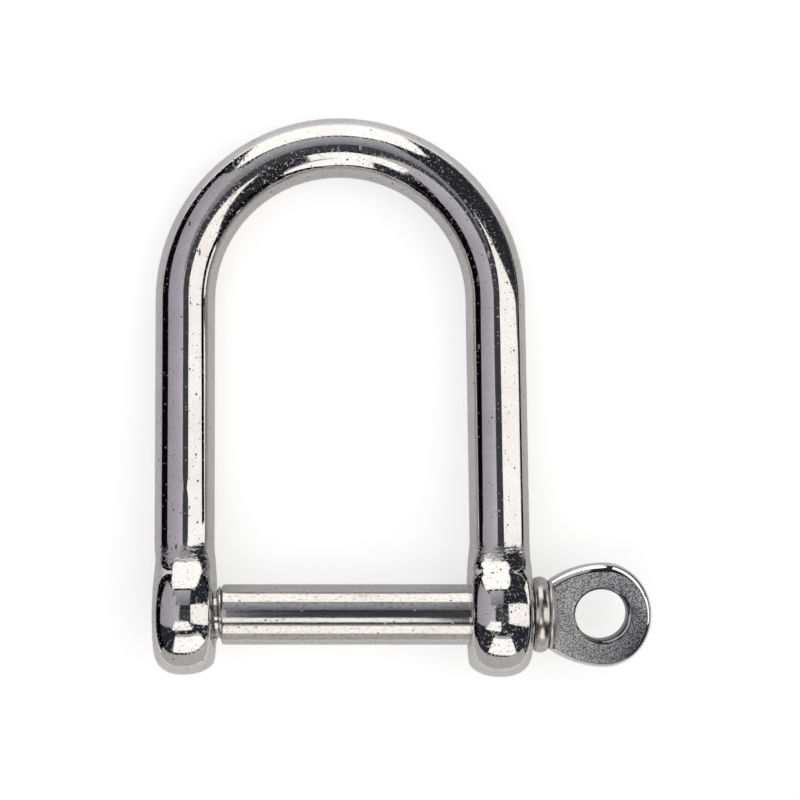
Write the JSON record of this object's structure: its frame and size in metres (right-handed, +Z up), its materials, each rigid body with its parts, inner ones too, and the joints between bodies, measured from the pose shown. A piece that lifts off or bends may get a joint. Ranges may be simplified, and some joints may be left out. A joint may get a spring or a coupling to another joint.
{
  "type": "screw pin shackle",
  "caption": "Wide D shackle in polished steel with a threaded screw pin, a collar ring and a flat eye for tightening the pin.",
  "frame": {"origin": "on the ground plane under the centre of the shackle's box, as it lies flat on its two ears and its crown", "axes": "+X along the pin's axis towards the eye, +Y towards the crown of the bow, +Z up from the surface the shackle lies on"},
  "size_m": [0.0663, 0.0748, 0.0163],
  "materials": {
    "polished_steel": "hand-polished forging with fine pits",
    "drawn_steel": "drawn shank with streaks along it, grained forged eye with bright bevels",
    "satin_steel": "smooth satin"
  },
  "bodies": {
    "bow": {"bow": "polished_steel"},
    "collar": {"collar": "satin_steel"},
    "pin": {"pin": "drawn_steel"}
  },
  "joints": [
    {"name": "pin_travel", "type": "slide", "parent": "bow", "child": "collar", "axis": [1, 0, 0], "range_m": [0, 0.05251]},
    {"name": "pin_turn", "type": "hinge", "parent": "collar", "child": "pin", "pos_m": [0.009, -0.02928, 0.00815], "axis": [1, 0, 0], "range_deg": [0, 15120]}
  ],
  "couplings": [
    {"joint": "pin_travel", "follows": "pin_turn", "m_per_rad": 0.00019894}
  ]
}
